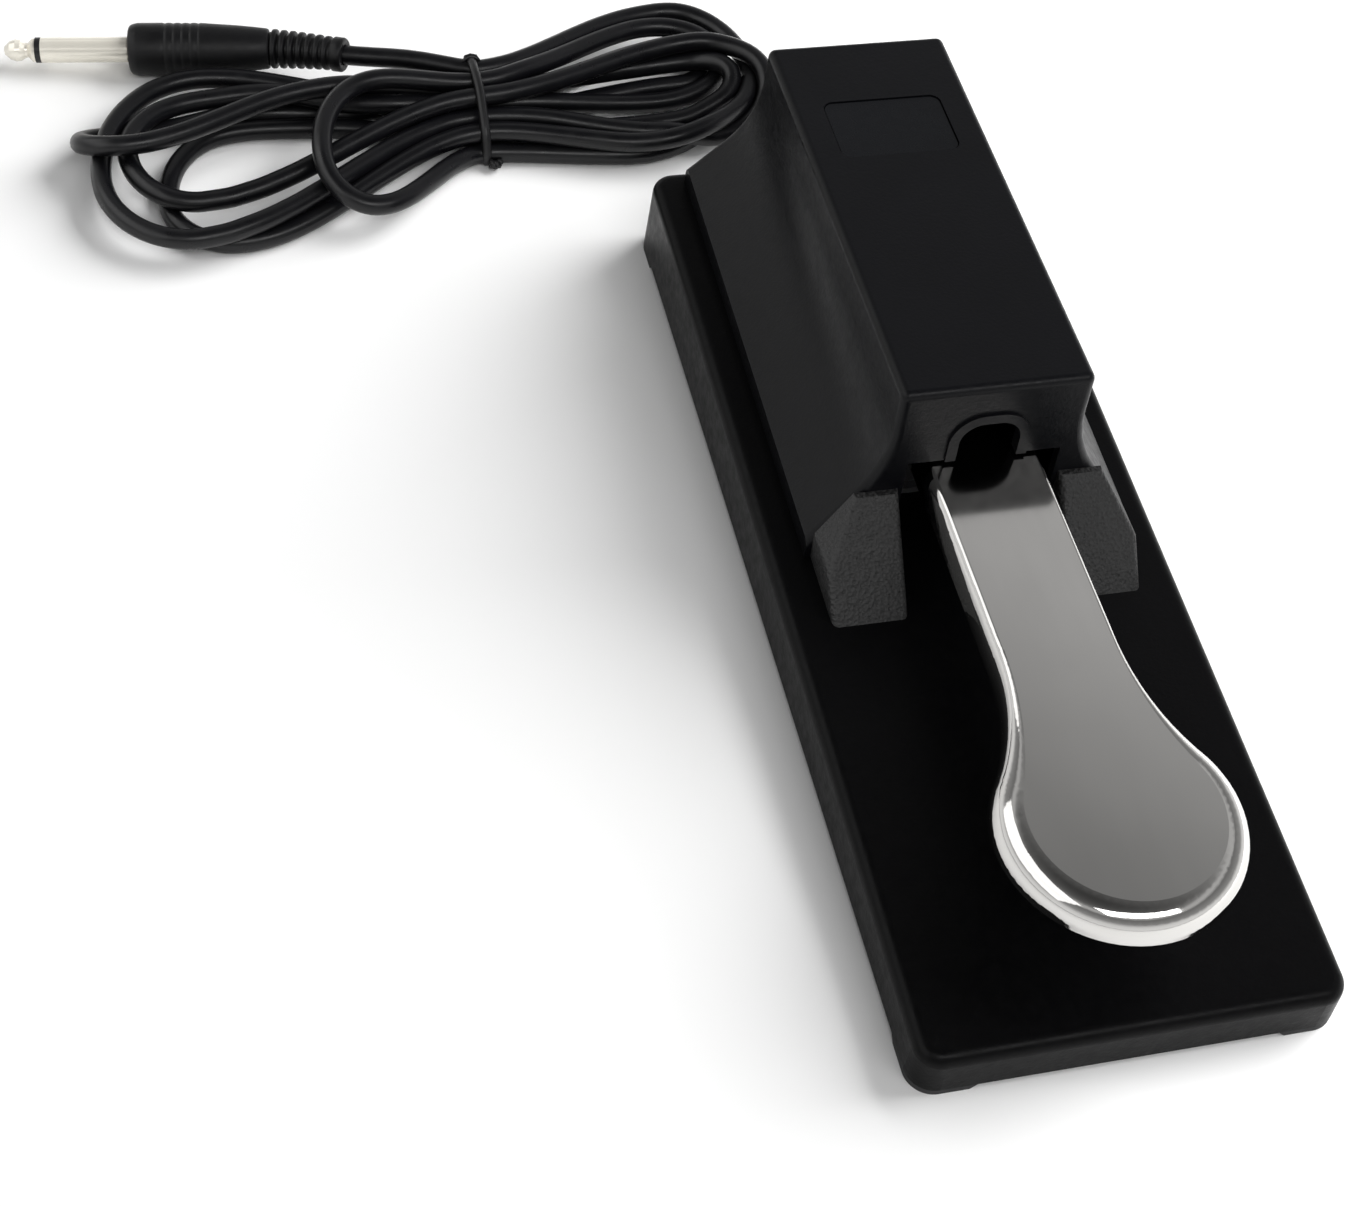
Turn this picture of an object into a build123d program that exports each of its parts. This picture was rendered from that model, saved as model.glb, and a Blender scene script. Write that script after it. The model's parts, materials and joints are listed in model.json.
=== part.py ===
"""Sustain pedal: a sprung, hinged steel pedal on a wedge-shaped base, with its switch, cord and plug.

Millimetres. +X is to the right, +Y to the rear, +Z up. The origin is under the middle of the base,
on the surface that the feet stand on.
"""

from build123d import *
import os
from math import acos, atan, atan2, cos, degrees, hypot, pi, radians, sin, tan

# ---------------------------------------------------------------- driving dimensions

# base
BASE_L, BASE_W = 238.0, 88.0  # at its top face
BASE_FRONT_H, BASE_REAR_H = 12.0, 21.0  # heights of the sloping top above the floor
BASE_BOTTOM = 1.5  # the skirt's lower edge, held up by the feet
BASE_FLARE = 0.8  # how far the skirt spreads towards its lower edge, each side
BASE_CORNER_R, BASE_EDGE_R = 5.0, 2.8
BASE_WALL = 2.5
PLATE_T, PLATE_BOTTOM = 1.5, 1.8
FOOT_R = 12.0
BOSS_R = 4.0
BASE_SCREWS = [(x, y) for x in (-35.0, 35.0) for y in (-98.0, 0.0, 98.0)]

# upper housing
HOUSE_FRONT_Y, HOUSE_REAR_Y = 0.0, 115.5  # at the foot
HOUSE_LEAN_FRONT, HOUSE_LEAN_REAR = 2.4, 2.0  # how far the end walls lean in by the top
HOUSE_TOP_FRONT, HOUSE_TOP_REAR = 61.8, 61.2
HOUSE_TOP_HALF = 21.15  # half width of the upper block
HOUSE_FOOT_HALF = 36.25
HOUSE_FOOT_H = 4.6  # the upright foot below the flare
FLARE_START_Z, FLARE_R_FRONT, FLARE_R_REAR = 52.0, 32.0, 27.0
HOUSE_WALL, HOUSE_EDGE_R = 2.4, 1.8
SLOT_HALF, SLOT_TOP = 17.0, 41.9  # opening that the pedal comes out of
ARCH_HALF, ARCH_TOP, ARCH_R = 6.75, 51.8, 5.0
ARCH_RIM_W, ARCH_RIM_T = 2.3, 0.6  # the raised lip round the arched hole
LABEL_W, LABEL_L, LABEL_T, LABEL_R, LABEL_Y = 27.2, 18.2, 0.8, 2.2, 83.7
LABEL_RECESS, LABEL_GAP = 1.1, 0.25
HOUSE_SCREWS = [(x, y) for x in (-27.0, 27.0) for y in (12.0, 103.0)]

# guide blocks beside the pedal
GUIDE_IN, GUIDE_OUT = 18.0, 34.9
GUIDE_CORNER_Z, GUIDE_TOP_Z, GUIDE_TOP_X = 23.6, 34.8, 27.8
GUIDE_FRONT_Y, GUIDE_EDGE_R = -19.3, 1.4
GUIDE_SCREWS = [(x, -8.0) for x in (-26.0, 26.0)]

# pedal
PEDAL_TOP_Z, PEDAL_DEPTH, PEDAL_T = 41.0, 7.0, 1.6
ARM_HALF, ARM_REAR_Y = 13.4, 98.0
PADDLE_R, PADDLE_Y, NECK_Y = 25.0, -88.5, -48.0
RIM_ARM, RIM_PADDLE, RIM_DROP = 2.0, 5.4, 5.8  # the rounded rim: its width at each end, and its drop
PIVOT_Y, PIVOT_Z, PIN_R, EAR_R = 92.0, 36.0, 2.5, 4.6
PEDAL_TRAVEL = 4.5  # degrees

# chassis bracket
CHASSIS_T, CHASSIS_HALF = 1.5, 17.4
CHASSIS_FRONT_Y, CHASSIS_REAR_Y = 14.0, 101.0
CHEEK_LOW = 7.0  # height of the cheeks between the pivot and the strap
STRAP_Y0, STRAP_Y1, STRAP_Z = 15.0, 27.0, 43.4
BUSH_R, BUSH_FLANGE_R, BUSH_FLANGE_T = 4.0, 5.6, 1.6
PIN_CLEARANCE = 0.05
CHASSIS_SCREWS = [(x, y) for x in (-9.0, 9.0) for y in (33.0, 97.0)]
STOP_GAP = 0.35  # between the arm and each stop

# return spring
SPRING_Y, SPRING_R, SPRING_WIRE_R, SPRING_TURNS = 45.0, 4.9, 0.65, 6.0
SEAT_R, SEAT_H = 7.0, 2.4

# switch
SWITCH_Y0, SWITCH_Y1, SWITCH_HALF = 55.0, 76.0, 5.0
SWITCH_BOTTOM, SWITCH_TOP = 24.0, 34.0
LEVER_Y, LEVER_Z, LEVER_L, LEVER_REST = 73.0, 34.9, 16.0, 12.9  # hinge, length and rest angle
LEVER_T, LEVER_HALF = 0.5, 1.9
LEVER_PIN_R = 0.4
BUTTON_Y, BUTTON_HALF_X, BUTTON_HALF_Y = 64.5, 1.5, 0.8
BUTTON_TOP, BUTTON_BOTTOM, BUTTON_PIT = 36.95, 32.8, 31.0

# cord
CORD_D = 5.0
CORD_R = CORD_D / 2
CORD_X, CORD_Z = 12.0, 27.5
CORD_INNER_Y, RELIEF_END_Y = 101.6, 133.0
RELIEF_NECK_R = 4.2
WIRE_R = 0.7
TERMINAL_Z = (26.5, 29.0, 31.5)
TERMINAL_END = SWITCH_Y1 + 5.0
CORD_POINTS = [
    (12, 133, 27.5),
    (12, 147, 27.5),
    (10, 158.5, 19.5),
    (2, 164, 9),
    (-8.5, 162, 3.2),
    (-20, 162, 3.2),
]

# the tied hank of cord, flat on the floor behind the base
HANK_LEFT = (-128.5, 151.5, 51.0, 30.0, 15.0)  # centre, half sizes and height of its fanned left end
HANK_RIGHT = (-38.5, 170.0, 37.5, 26.0, 14.5)  # and of its right end
WAIST_X0, WAIST_X1, WAIST_Y0, WAIST_Y1, WAIST_H = -106.0, -50.0, 147.8, 176.6, 14.8
TIE_X, TIE_W, TIE_T = -78.0, 2.4, 1.2

# plug: a 6.35 mm mono jack plug, lying behind the hank
PLUG_R, PLUG_LEN = 3.175, 31.5
PLUG_TIP_END = (-192.9, 200.9, 4.9)
PLUG_BACK = (-127.0, 190.2, 8.4)
BOOT_END = (-108.8, 182.9, 10.6)
TAIL_END = (-92.0, 171.0, 11.2)  # where the cord behind the plug joins the hank
BARREL_R = 6.65

M2, M3 = 1.0, 1.5  # screw shank radii


# ---------------------------------------------------------------- helpers


def top_z(y):
    """Height of the base's sloping top at y."""
    return BASE_FRONT_H + (BASE_REAR_H - BASE_FRONT_H) * (y + BASE_L / 2) / BASE_L


SLOPE = degrees(atan((BASE_REAR_H - BASE_FRONT_H) / BASE_L))


def slope_box(offset, thick):
    """A slab above the base's sloping top, its lower face offset along Z from it."""
    slab = Box(400, 500, thick, align=(Align.CENTER, Align.CENTER, Align.MIN))
    return Pos(0, 0, top_z(0) + offset) * Rot(SLOPE, 0, 0) * slab


def above_base(solid, offset=0.0):
    """The part of a solid that is above the base's top by offset."""
    return solid & slope_box(offset, 200)


def block(x0, x1, y0, y1, z0, z1):
    return Pos((x0 + x1) / 2, (y0 + y1) / 2, (z0 + z1) / 2) * Box(x1 - x0, y1 - y0, z1 - z0)


def rod(start, end, radius):
    """A round bar between two points."""
    a, b = Vector(*start), Vector(*end)
    plane = Plane(origin=a, z_dir=b - a)
    return extrude(plane * Circle(radius), (b - a).length)


def side_plate(points, x0, x1):
    """A plate with an outline given in (y, z), from x0 to x1."""
    outline = Plane.YZ.offset(x0) * make_face(Polyline(*points, close=True))
    return extrude(outline, x1 - x0)


def mirrored(solid):
    return solid.mirror(Plane.YZ)


def pan_head_screw(x, y, z_head, length, shank_r, up=True):
    """A pan head screw on a vertical axis; its head is at z_head and its shank goes up or down."""
    way = 1 if up else -1
    head_h = shank_r * 1.0
    shank = rod((x, y, z_head), (x, y, z_head + way * length), shank_r)
    head = rod((x, y, z_head), (x, y, z_head - way * head_h), shank_r * 1.9)
    driver = Box(shank_r * 2.4, shank_r * 0.5, head_h) + Box(shank_r * 0.5, shank_r * 2.4, head_h)
    return (shank + head) - Pos(x, y, z_head - way * head_h) * driver


def save(name, shape):
    shape.label = name
    export_step(shape, f"parts/{name}.step")


# ---------------------------------------------------------------- base


def skirt_block(inset, height):
    """The base's outer block, spreading towards its lower edge, drawn in by inset."""
    long, wide = BASE_L + 2 * (BASE_FLARE - inset), BASE_W + 2 * (BASE_FLARE - inset)
    radius = BASE_CORNER_R + BASE_FLARE - inset
    plan = Plane.XY.offset(BASE_BOTTOM) * RectangleRounded(wide, long, radius)
    lean = degrees(atan(BASE_FLARE / (BASE_REAR_H - BASE_BOTTOM)))
    return extrude(plan, height, taper=lean)


def base_shell():
    full_height = BASE_REAR_H + 4
    outer = skirt_block(0, full_height) - slope_box(0, 60)
    top_face = outer.faces().sort_by(Axis.Z)[-1]
    outer = fillet(top_face.edges(), BASE_EDGE_R)
    hollow = skirt_block(BASE_WALL, full_height) - slope_box(-BASE_WALL, 60)
    shell = outer - hollow
    for x, y in BASE_SCREWS:
        boss = rod((x, y, PLATE_BOTTOM + PLATE_T), (x, y, top_z(y) - BASE_WALL / 2), BOSS_R)
        shell += boss
        shell -= rod((x, y, 0), (x, y, top_z(y) - BASE_WALL), M3)
    for x, y in HOUSE_SCREWS + CHASSIS_SCREWS + GUIDE_SCREWS:
        shell -= rod((x, y, 0), (x, y, 40), M3)
    return shell


def base_plate():
    inset = BASE_WALL + 0.25
    long, wide = BASE_L + 2 * (BASE_FLARE - inset), BASE_W + 2 * (BASE_FLARE - inset)
    plan = Plane.XY.offset(PLATE_BOTTOM) * RectangleRounded(wide - 0.2, long - 0.2, BASE_CORNER_R - 2)
    plate = extrude(plan, PLATE_T)
    for x, y in BASE_SCREWS:
        plate -= rod((x, y, 0), (x, y, 6), M3)
    for x, y in HOUSE_SCREWS + GUIDE_SCREWS:
        plate -= rod((x, y, 0), (x, y, 6), M3 * 2.3)
    return plate


def foot(side, end):
    """A rubber corner pad, flush with the skirt's rounded corner."""
    long, wide = BASE_L + 2 * BASE_FLARE, BASE_W + 2 * BASE_FLARE
    outline = extrude(RectangleRounded(wide, long, BASE_CORNER_R + BASE_FLARE), BASE_BOTTOM)
    spread = Cone(FOOT_R, FOOT_R + BASE_BOTTOM, BASE_BOTTOM, align=(Align.CENTER, Align.CENTER, Align.MIN))
    return outline & Pos(side * wide / 2, end * long / 2, 0) * spread


# ---------------------------------------------------------------- housing


def house_section(y, inset, drop):
    """The housing's outline at y, drawn in by inset, its foot lowered by drop."""
    share = (y - HOUSE_FRONT_Y) / (HOUSE_REAR_Y - HOUSE_FRONT_Y)
    top = HOUSE_TOP_FRONT + (HOUSE_TOP_REAR - HOUSE_TOP_FRONT) * share - inset
    foot_z = top_z(y)
    half, foot_half = HOUSE_TOP_HALF - inset, HOUSE_FOOT_HALF - inset
    corner_z = foot_z + HOUSE_FOOT_H - inset * 0.6

    # the concave flare is a circle whose centre is outside the housing; it ends where it runs into the flank
    outer_r = FLARE_R_FRONT + (FLARE_R_REAR - FLARE_R_FRONT) * share
    centre_x, flare_r = HOUSE_TOP_HALF + outer_r, outer_r + inset
    fall, reach = FLARE_START_Z - corner_z, centre_x - foot_half
    flare_angle = atan2(fall, reach) - acos(flare_r / hypot(fall, reach))

    def on_flare(a):
        return (centre_x - flare_r * cos(a), FLARE_START_Z - flare_r * sin(a))

    start, middle, end = on_flare(0), on_flare(flare_angle / 2), on_flare(flare_angle)
    corner, foot_end = (foot_half, corner_z), (foot_half, foot_z - drop)
    right = (
        Line((0, top), (half, top))
        + Line((half, top), start)
        + ThreePointArc(start, middle, end)
        + Line(end, corner)
        + Line(corner, foot_end)
        + Line(foot_end, (0, foot_z - drop))
    )
    outline = right + mirror(right, about=Plane.YZ)
    # sections are drawn in a plane whose local y is the world's Z
    return Plane(origin=(0, y, 0), x_dir=(1, 0, 0), z_dir=(0, -1, 0)) * make_face(outline)


def end_cut(y_foot, lean, rear):
    """The space outside a leaning end wall."""
    foot_z = top_z(y_foot)
    angle = degrees(atan(lean / (HOUSE_TOP_FRONT - foot_z)))
    slab = Box(200, 60, 200, align=(Align.CENTER, Align.MIN if rear else Align.MAX, Align.CENTER))
    return Pos(0, y_foot, foot_z) * Rot(angle if rear else -angle, 0, 0) * slab


def house_block(inset, drop):
    y0, y1 = HOUSE_FRONT_Y - 4, HOUSE_REAR_Y + 4
    body = loft([house_section(y0, inset, drop), house_section(y1, inset, drop)], ruled=True)
    body -= end_cut(HOUSE_FRONT_Y + inset, HOUSE_LEAN_FRONT, False)
    body -= end_cut(HOUSE_REAR_Y - inset, HOUSE_LEAN_REAR, True)
    return body


def arch(grow, y0, y1):
    """The arched hole over the pedal, as a bar from y0 to y1, grown on all sides."""
    half, top, radius = ARCH_HALF + grow, ARCH_TOP + grow, ARCH_R + grow
    low = SLOT_TOP - 4
    bar = block(-half, half, y0, y1, low, top)
    upper = bar.edges().filter_by(Axis.Y).group_by(Axis.Z)[-1]
    return fillet(upper, radius)


def housing_shell():
    outer = house_block(0, 0)
    roof_z = outer.bounding_box().max.Z
    long_edges = outer.edges().filter_by(lambda e: e.center().Z > roof_z - 6)
    outer = fillet(long_edges, HOUSE_EDGE_R)
    front_y = HOUSE_FRONT_Y + HOUSE_LEAN_FRONT
    rim = arch(ARCH_RIM_W, front_y - ARCH_RIM_T - 1.5, front_y + 1.0) & slope_box(SLOT_TOP - top_z(0), 60)
    collar_front = Pos(0, HOUSE_FRONT_Y - ARCH_RIM_T, top_z(0)) * Rot(-house_lean_angle(), 0, 0)
    rim &= collar_front * Box(200, 60, 200, align=(Align.CENTER, Align.MIN, Align.CENTER))
    shell = (outer + rim) - house_block(HOUSE_WALL, 6)
    for x, y in HOUSE_SCREWS:
        post = above_base(rod((x, y, 10), (x, y, 45), 3.4)) & house_block(0.4, 0)
        shell += post - rod((x, y, 0), (x, y, top_z(y) + 9), M3)
    shell -= block(-SLOT_HALF, SLOT_HALF, -10, 8, 10, SLOT_TOP)
    shell -= arch(0, -10, 8)
    recess = RectangleRounded(LABEL_W + 2 * LABEL_GAP, LABEL_L + 2 * LABEL_GAP, LABEL_R + LABEL_GAP)
    shell -= label_place() * Pos(0, 0, -LABEL_RECESS) * extrude(recess, 10)
    shell -= rod((CORD_X, 100, CORD_Z), (CORD_X, 130, CORD_Z), RELIEF_NECK_R)
    return shell


def label_place():
    """The roof's surface at the middle of the label."""
    share = (LABEL_Y - HOUSE_FRONT_Y) / (HOUSE_REAR_Y - HOUSE_FRONT_Y)
    roof = HOUSE_TOP_FRONT + (HOUSE_TOP_REAR - HOUSE_TOP_FRONT) * share
    fall = degrees(atan((HOUSE_TOP_REAR - HOUSE_TOP_FRONT) / (HOUSE_REAR_Y - HOUSE_FRONT_Y)))
    return Pos(0, LABEL_Y, roof) * Rot(fall, 0, 0)


def label_plate():
    plate = extrude(RectangleRounded(LABEL_W, LABEL_L, LABEL_R), LABEL_T)
    return label_place() * Pos(0, 0, -LABEL_RECESS) * plate


# ---------------------------------------------------------------- guide blocks


def guide_block():
    """The right-hand block: the housing's flare, drawn in, with a sloping front."""
    points = [
        (GUIDE_IN, 5),
        (GUIDE_OUT, 5),
        (GUIDE_OUT, GUIDE_CORNER_Z),
        (GUIDE_TOP_X, GUIDE_TOP_Z),
        (GUIDE_IN, GUIDE_TOP_Z),
    ]
    outline = Plane(origin=(0, 6, 0), x_dir=(1, 0, 0), z_dir=(0, -1, 0)) * make_face(
        Polyline(*points, close=True)
    )
    body = extrude(outline, 6 - GUIDE_FRONT_Y)
    front_foot = top_z(GUIDE_FRONT_Y)
    face_angle = degrees(atan2(GUIDE_TOP_Z - front_foot, -0.5 - GUIDE_FRONT_Y))
    wedge = Box(200, 200, 60, align=(Align.CENTER, Align.CENTER, Align.MIN))
    body -= Pos(0, GUIDE_FRONT_Y, front_foot) * Rot(face_angle, 0, 0) * wedge
    inside = Pos(0, HOUSE_FRONT_Y, top_z(0)) * Rot(-house_lean_angle(), 0, 0)
    body -= inside * Box(200, 60, 200, align=(Align.CENTER, Align.MIN, Align.CENTER))
    edges = body.edges().filter_by(lambda e: e.center().Y < -1.5 and e.center().Z > front_foot + 1)
    body = above_base(fillet(edges, GUIDE_EDGE_R))
    for x, y in GUIDE_SCREWS:
        body -= rod((x, y, 0), (x, y, top_z(y) + 6.5), M3)
    return body


def house_lean_angle():
    return degrees(atan(HOUSE_LEAN_FRONT / (HOUSE_TOP_FRONT - top_z(HOUSE_FRONT_Y))))


# ---------------------------------------------------------------- pedal


def pedal_outline(arm_inset, paddle_inset, rear_y):
    """The pedal seen from above, drawn in along its arm and round its paddle."""
    half, round_r = ARM_HALF - arm_inset, PADDLE_R - paddle_inset
    rise = NECK_Y - PADDLE_Y
    # the concave neck is tangent to the arm's side and to the paddle's circle
    neck_r = (rise**2 - round_r**2 + half**2) / (2 * (round_r - half))
    neck_x = half + neck_r
    toward = Vector(neck_x, rise).normalized()
    join = (toward.X * round_r, PADDLE_Y + toward.Y * round_r)
    middle_angle = (pi + atan2(join[1] - NECK_Y, join[0] - neck_x) % (2 * pi)) / 2
    middle = (neck_x + neck_r * cos(middle_angle), NECK_Y + neck_r * sin(middle_angle))
    side = (round_r * sin(radians(80)), PADDLE_Y - round_r * cos(radians(80)))
    right = (
        Line((0, rear_y), (half, rear_y))
        + Line((half, rear_y), (half, NECK_Y))
        + ThreePointArc((half, NECK_Y), middle, join)
        + ThreePointArc(join, side, (0, PADDLE_Y - round_r))
    )
    return make_face(right + mirror(right, about=Plane.YZ))


def pedal_block(inset, low, top, rim_arm, rim_paddle, rim_drop, rear_y):
    """A solid with the pedal's outline and a rounded rim, narrow along the arm and wide round the paddle."""
    rim_low = top - rim_drop
    sections = []
    for angle in (0, 20, 40, 58, 74, 90):
        a = radians(angle)
        drawn_in = 1 - cos(a)
        plan = pedal_outline(inset + rim_arm * drawn_in, inset + rim_paddle * drawn_in, rear_y)
        sections.append(Plane.XY.offset(rim_low + rim_drop * sin(a)) * plan)
    wall = extrude(Plane.XY.offset(low) * pedal_outline(inset, inset, rear_y), rim_low - low)
    return wall + loft(sections)


def pedal_plate():
    low = PEDAL_TOP_Z - PEDAL_DEPTH
    outer = pedal_block(0, low, PEDAL_TOP_Z, RIM_ARM, RIM_PADDLE, RIM_DROP, ARM_REAR_Y)
    inner_rim = (RIM_ARM / 2, RIM_PADDLE - PEDAL_T, RIM_DROP - PEDAL_T)
    inner = pedal_block(PEDAL_T, low - 1, PEDAL_TOP_Z - PEDAL_T, *inner_rim, ARM_REAR_Y + 5)
    plate = outer - inner
    plate += ear(-ARM_HALF) + ear(ARM_HALF - PEDAL_T)
    plate -= rod((-30, PIVOT_Y, PIVOT_Z), (30, PIVOT_Y, PIVOT_Z), PIN_R)
    return plate


def ear(x0):
    """A lug that hangs from the arm's side wall, round the lower half of the hinge pin."""
    lug = rod((x0, PIVOT_Y, PIVOT_Z), (x0 + PEDAL_T, PIVOT_Y, PIVOT_Z), EAR_R)
    return lug & block(x0 - 1, x0 + 3, PIVOT_Y - 10, PIVOT_Y + 10, 0, PEDAL_TOP_Z - PEDAL_DEPTH + 0.6)


def pivot_pin():
    half = CHASSIS_HALF + 1.9
    pin = rod((-half, PIVOT_Y, PIVOT_Z), (half, PIVOT_Y, PIVOT_Z), PIN_R)
    for x in (-CHASSIS_HALF - 1.1, CHASSIS_HALF + 0.5):
        groove = rod((x, PIVOT_Y, PIVOT_Z), (x + 0.6, PIVOT_Y, PIVOT_Z), PIN_R + 1)
        pin -= groove - rod((x, PIVOT_Y, PIVOT_Z), (x + 0.6, PIVOT_Y, PIVOT_Z), PIN_R - 0.5)
    return pin


def pin_clips():
    """Two retaining clips that sit in the pin's grooves and turn with it."""
    clips = []
    for x in (-CHASSIS_HALF - 1.1, CHASSIS_HALF + 0.5):
        ring = rod((x, PIVOT_Y, PIVOT_Z), (x + 0.6, PIVOT_Y, PIVOT_Z), PIN_R + 2)
        ring -= rod((x, PIVOT_Y, PIVOT_Z), (x + 0.6, PIVOT_Y, PIVOT_Z), PIN_R - 0.5)
        mouth = block(x - 1, x + 2, PIVOT_Y - 1.6, PIVOT_Y + 1.6, PIVOT_Z - 8, PIVOT_Z)
        clips.append(ring - mouth)
    return Compound(children=clips)


# ---------------------------------------------------------------- chassis and stops


def cheek(x0):
    """One side of the chassis: high at the pivot and at the front strap, low between them."""
    strap_top = STRAP_Z + CHASSIS_T
    points = [
        (CHASSIS_FRONT_Y, top_z(CHASSIS_FRONT_Y)),
        (CHASSIS_REAR_Y, top_z(CHASSIS_REAR_Y)),
        (CHASSIS_REAR_Y, PIVOT_Z),
        (PIVOT_Y + 6, PIVOT_Z + 6),
        (PIVOT_Y - 6, PIVOT_Z + 6),
        (PIVOT_Y - 12, PIVOT_Z - 2),
        (PIVOT_Y - 16, top_z(PIVOT_Y - 16) + CHEEK_LOW),
        (STRAP_Y1 + 8, top_z(STRAP_Y1 + 8) + CHEEK_LOW),
        (STRAP_Y1, strap_top - 8),
        (STRAP_Y1, strap_top),
        (STRAP_Y0, strap_top),
        (CHASSIS_FRONT_Y, strap_top - 12),
    ]
    return side_plate(points, x0, x0 + CHASSIS_T)


def chassis_bracket():
    frame = cheek(-CHASSIS_HALF) + cheek(CHASSIS_HALF - CHASSIS_T)
    floor_plate = block(-CHASSIS_HALF, CHASSIS_HALF, CHASSIS_FRONT_Y, CHASSIS_REAR_Y, 0, 60)
    frame += above_base(floor_plate) - slope_box(CHASSIS_T, 200)
    frame += block(-CHASSIS_HALF, CHASSIS_HALF, STRAP_Y0, STRAP_Y1, STRAP_Z, STRAP_Z + CHASSIS_T)
    frame -= rod((-30, PIVOT_Y, PIVOT_Z), (30, PIVOT_Y, PIVOT_Z), BUSH_R)
    for x, y in CHASSIS_SCREWS:
        frame -= rod((x, y, 0), (x, y, 30), M3)
    return frame


def pivot_bush(side):
    """A flanged nylon bush in one cheek, between it and the arm."""
    inner_face, outer_face = CHASSIS_HALF - CHASSIS_T, CHASSIS_HALF + 0.2

    def bar(x0, x1, radius):
        return rod((side * x0, PIVOT_Y, PIVOT_Z), (side * x1, PIVOT_Y, PIVOT_Z), radius)

    bush = bar(inner_face, outer_face, BUSH_R) + bar(inner_face - BUSH_FLANGE_T, inner_face, BUSH_FLANGE_R)
    return bush - bar(5, 30, PIN_R + PIN_CLEARANCE)


def up_stop_pad():
    """Felt under the strap, which the arm rests against."""
    low = PEDAL_TOP_Z + STOP_GAP
    return block(-11, 11, STRAP_Y0 + 1, STRAP_Y1 - 1, low, STRAP_Z)


def arm_low_at(y):
    """Height of the arm's lower edge at y with the pedal pressed fully down."""
    a = radians(PEDAL_TRAVEL)
    return PIVOT_Z + (PEDAL_TOP_Z - PEDAL_DEPTH - PIVOT_Z) * cos(a) - (PIVOT_Y - y) * sin(a)


def down_stop_pad():
    """A rubber block on the chassis floor under the arm's side walls."""
    y0, y1 = 16.0, 26.0
    body = block(-15, 15, y0, y1, 5, arm_low_at(y0) - STOP_GAP)
    return above_base(body, CHASSIS_T)


# ---------------------------------------------------------------- return spring


def spring_low():
    return top_z(SPRING_Y + SEAT_R) + CHASSIS_T + SEAT_H


def spring_seat():
    """A cup on the chassis floor with a spigot inside the spring."""
    low = spring_low()
    cup = rod((0, SPRING_Y, 5), (0, SPRING_Y, low + 1.6), SEAT_R)
    cup -= rod((0, SPRING_Y, low), (0, SPRING_Y, low + 5), SPRING_R + SPRING_WIRE_R + 0.3)
    cup += rod((0, SPRING_Y, 5), (0, SPRING_Y, low + 5), SPRING_R - SPRING_WIRE_R - 0.5)
    return above_base(cup, CHASSIS_T)


def return_spring():
    """A compression spring between its seat and the underside of the arm."""
    top = PEDAL_TOP_Z - PEDAL_T - 0.25
    low = spring_low() + 0.05
    rise = top - low - 2 * SPRING_WIRE_R
    path = Helix(pitch=rise / SPRING_TURNS, height=rise, radius=SPRING_R)
    section = Plane(origin=path @ 0, z_dir=path % 0) * Circle(SPRING_WIRE_R)
    coil = sweep(section, path=path)
    return Pos(0, SPRING_Y, low + SPRING_WIRE_R) * coil


# ---------------------------------------------------------------- switch


def switch_bracket():
    """A bent steel stand that holds the switch off the chassis floor."""
    half, wall = SWITCH_HALF + 1.2, 1.2
    stand = block(-half, half, SWITCH_Y0, SWITCH_Y1, 5, SWITCH_BOTTOM)
    stand -= block(-half + wall, half - wall, SWITCH_Y0 - 5, SWITCH_Y1 + 5, 4, SWITCH_BOTTOM - wall)
    lips = block(-half, -half + wall, SWITCH_Y0 + 3, SWITCH_Y1 - 3, SWITCH_BOTTOM, SWITCH_BOTTOM + 6)
    return above_base(stand + lips + mirrored(lips), CHASSIS_T)


def switch_body():
    body = block(-SWITCH_HALF, SWITCH_HALF, SWITCH_Y0, SWITCH_Y1, SWITCH_BOTTOM, SWITCH_TOP)
    body = fillet(body.edges().filter_by(Axis.Z), 0.8)
    for x in (-3.6, 2.6):
        lug = block(x, x + 1.0, LEVER_Y - 1.2, LEVER_Y + 1.2, SWITCH_TOP - 1, LEVER_Z + 1.0)
        body += lug
    body -= rod((-8, LEVER_Y, LEVER_Z), (8, LEVER_Y, LEVER_Z), LEVER_PIN_R)
    body -= block(-2.3, 2.3, LEVER_Y - 1.6, LEVER_Y + 1.6, SWITCH_TOP - 0.6, SWITCH_TOP + 3)
    gap = 0.3
    body -= block(
        -BUTTON_HALF_X - gap,
        BUTTON_HALF_X + gap,
        BUTTON_Y - BUTTON_HALF_Y - gap,
        BUTTON_Y + BUTTON_HALF_Y + gap,
        BUTTON_PIT,
        SWITCH_TOP + 1,
    )
    return body


def switch_button():
    return block(
        -BUTTON_HALF_X,
        BUTTON_HALF_X,
        BUTTON_Y - BUTTON_HALF_Y,
        BUTTON_Y + BUTTON_HALF_Y,
        BUTTON_BOTTOM,
        BUTTON_TOP,
    )


def switch_lever():
    """A spring-steel lever with a rolled eye, raised at rest."""
    eye = rod((-LEVER_HALF, 0, 0), (LEVER_HALF, 0, 0), 0.85)
    leaf = block(-LEVER_HALF, LEVER_HALF, -LEVER_L, 0, 0.35, 0.35 + LEVER_T)
    lever = (eye + leaf) - rod((-5, 0, 0), (5, 0, 0), LEVER_PIN_R + PIN_CLEARANCE)
    return Pos(0, LEVER_Y, LEVER_Z) * Rot(-LEVER_REST, 0, 0) * lever


def lever_pin():
    return rod((-3.8, LEVER_Y, LEVER_Z), (3.8, LEVER_Y, LEVER_Z), LEVER_PIN_R)


def switch_terminals():
    tabs = [block(-1.4, 1.4, SWITCH_Y1, TERMINAL_END, z - 0.3, z + 0.3) for z in TERMINAL_Z]
    return Compound(children=tabs)


# ---------------------------------------------------------------- cord, inside


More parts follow.
